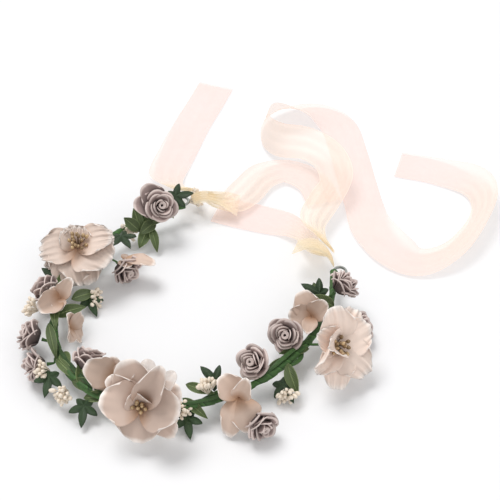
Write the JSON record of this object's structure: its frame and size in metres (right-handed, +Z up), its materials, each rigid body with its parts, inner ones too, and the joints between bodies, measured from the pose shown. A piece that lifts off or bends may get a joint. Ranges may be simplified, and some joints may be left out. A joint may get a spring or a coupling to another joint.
{
  "type": "flower crown",
  "caption": "Taped wire hoop with cloth blossoms, foam roses, florets, leaves and berry sprigs on bendable stems, open at the back, where sheer ribbon tails tie it to size.",
  "frame": {"origin": "middle of the hoop's oval, on the surface that the crown lies on", "axes": "+Z up out of the hoop, along the wearer's head axis; -Y towards the front of the crown as it lies, +X to its right, with the hoop's open back at the right rear"},
  "size_m": [0.3135, 0.3583, 0.048],
  "materials": {
    "wire": "drawn iron wire, dull",
    "floral_tape": "waxed green crepe paper tape, matt",
    "organza_ribbon": "sheer woven organza, ivory with a blush tint",
    "wrapped_stem": "wire in green tape, matt",
    "blossom_petal": "pressed polyester petal cloth, beige, matt",
    "stamen": "stiff threads with pearly antique gold tips",
    "foam_rose": "thin foam sheet, taupe with pale cut edges",
    "floret_petal": "pressed petal cloth, beige to peach",
    "ivy_leaf": "printed leaf cloth, dark green, slightly waxy",
    "oval_leaf": "printed leaf cloth, olive to light green",
    "berry": "cream coated pips on thread stalks"
  },
  "bodies": {
    "crown": {"berries_corner": "berry", "berries_front": "berry", "berries_left": "berry", "berries_right": "berry", "floret_corner": "floret_petal", "floret_drop": "floret_petal", "floret_inner_left": "floret_petal", "floret_left": "floret_petal", "floret_right": "floret_petal", "floret_under_blossom": "floret_petal", "hoop_wire": "wire", "ivy_back": "ivy_leaf", "ivy_corner": "ivy_leaf", "ivy_end_left": "ivy_leaf", "ivy_end_right": "ivy_leaf", "ivy_front": "ivy_leaf", "ivy_side": "ivy_leaf", "leaf_along_hoop": "oval_leaf", "leaf_back": "oval_leaf", "leaf_front_right": "oval_leaf", "leaf_inner_left": "oval_leaf", "ribbon_left_knot": "organza_ribbon", "ribbon_left_tail_back": "organza_ribbon", "ribbon_left_tail_inner": "organza_ribbon", "ribbon_right_knot": "organza_ribbon", "ribbon_right_tail_long": "organza_ribbon", "ribbon_right_tail_short": "organza_ribbon", "rose_corner_head": "foam_rose", "rose_corner_stem": "wrapped_stem", "rose_inner_left_head": "foam_rose", "rose_inner_left_stem": "wrapped_stem", "rose_inner_right_head": "foam_rose", "rose_inner_right_stem": "wrapped_stem", "rose_low_right_head": "foam_rose", "rose_low_right_stem": "wrapped_stem", "rose_side_back_head": "foam_rose", "rose_side_back_stem": "wrapped_stem", "rose_side_front_head": "foam_rose", "rose_side_front_stem": "wrapped_stem", "rose_side_middle_head": "foam_rose", "rose_side_middle_stem": "wrapped_stem", "tape_wrap": "floral_tape"},
    "blossom_left": {"blossom_left_inner_petals": "blossom_petal", "blossom_left_outer_petals": "blossom_petal", "blossom_left_stamens": "stamen", "blossom_left_stem": "wrapped_stem"},
    "blossom_front": {"blossom_front_inner_petals": "blossom_petal", "blossom_front_outer_petals": "blossom_petal", "blossom_front_stamens": "stamen", "blossom_front_stem": "wrapped_stem"},
    "blossom_right": {"blossom_right_inner_petals": "blossom_petal", "blossom_right_outer_petals": "blossom_petal", "blossom_right_stamens": "stamen", "blossom_right_stem": "wrapped_stem"},
    "rose_end_left": {"rose_end_left_head": "foam_rose", "rose_end_left_stem": "wrapped_stem"},
    "rose_front": {"rose_front_head": "foam_rose", "rose_front_stem": "wrapped_stem"},
    "rose_end_right": {"rose_end_right_head": "foam_rose", "rose_end_right_stem": "wrapped_stem"}
  },
  "joints": [
    {"name": "blossom_left_bend", "type": "hinge", "parent": "crown", "child": "blossom_left", "pos_m": [-0.07455, 0.03012, 0.013], "axis": [-0.4742, -0.8804, 0], "range_deg": [-15, 5]},
    {"name": "blossom_front_bend", "type": "hinge", "parent": "crown", "child": "blossom_front", "pos_m": [-0.02676, -0.09091, 0.013], "axis": [0.9953, -0.0967, 0], "range_deg": [-25, 20]},
    {"name": "blossom_right_bend", "type": "hinge", "parent": "crown", "child": "blossom_right", "pos_m": [0.06802, -0.04087, 0.013], "axis": [0.5627, 0.8267, 0], "range_deg": [-25, 5]},
    {"name": "rose_end_left_bend", "type": "hinge", "parent": "crown", "child": "rose_end_left", "pos_m": [-0.02834, 0.07785, 0.013], "axis": [-0.8676, -0.4972, 0], "range_deg": [-25, 25]},
    {"name": "rose_front_bend", "type": "hinge", "parent": "crown", "child": "rose_front", "pos_m": [0.03968, -0.07043, 0.013], "axis": [0.8034, 0.5954, 0], "range_deg": [-25, 25]},
    {"name": "rose_end_right_bend", "type": "hinge", "parent": "crown", "child": "rose_end_right", "pos_m": [0.08537, -0.00149, 0.013], "axis": [0.2202, 0.9755, 0], "range_deg": [-10, 25]}
  ]
}
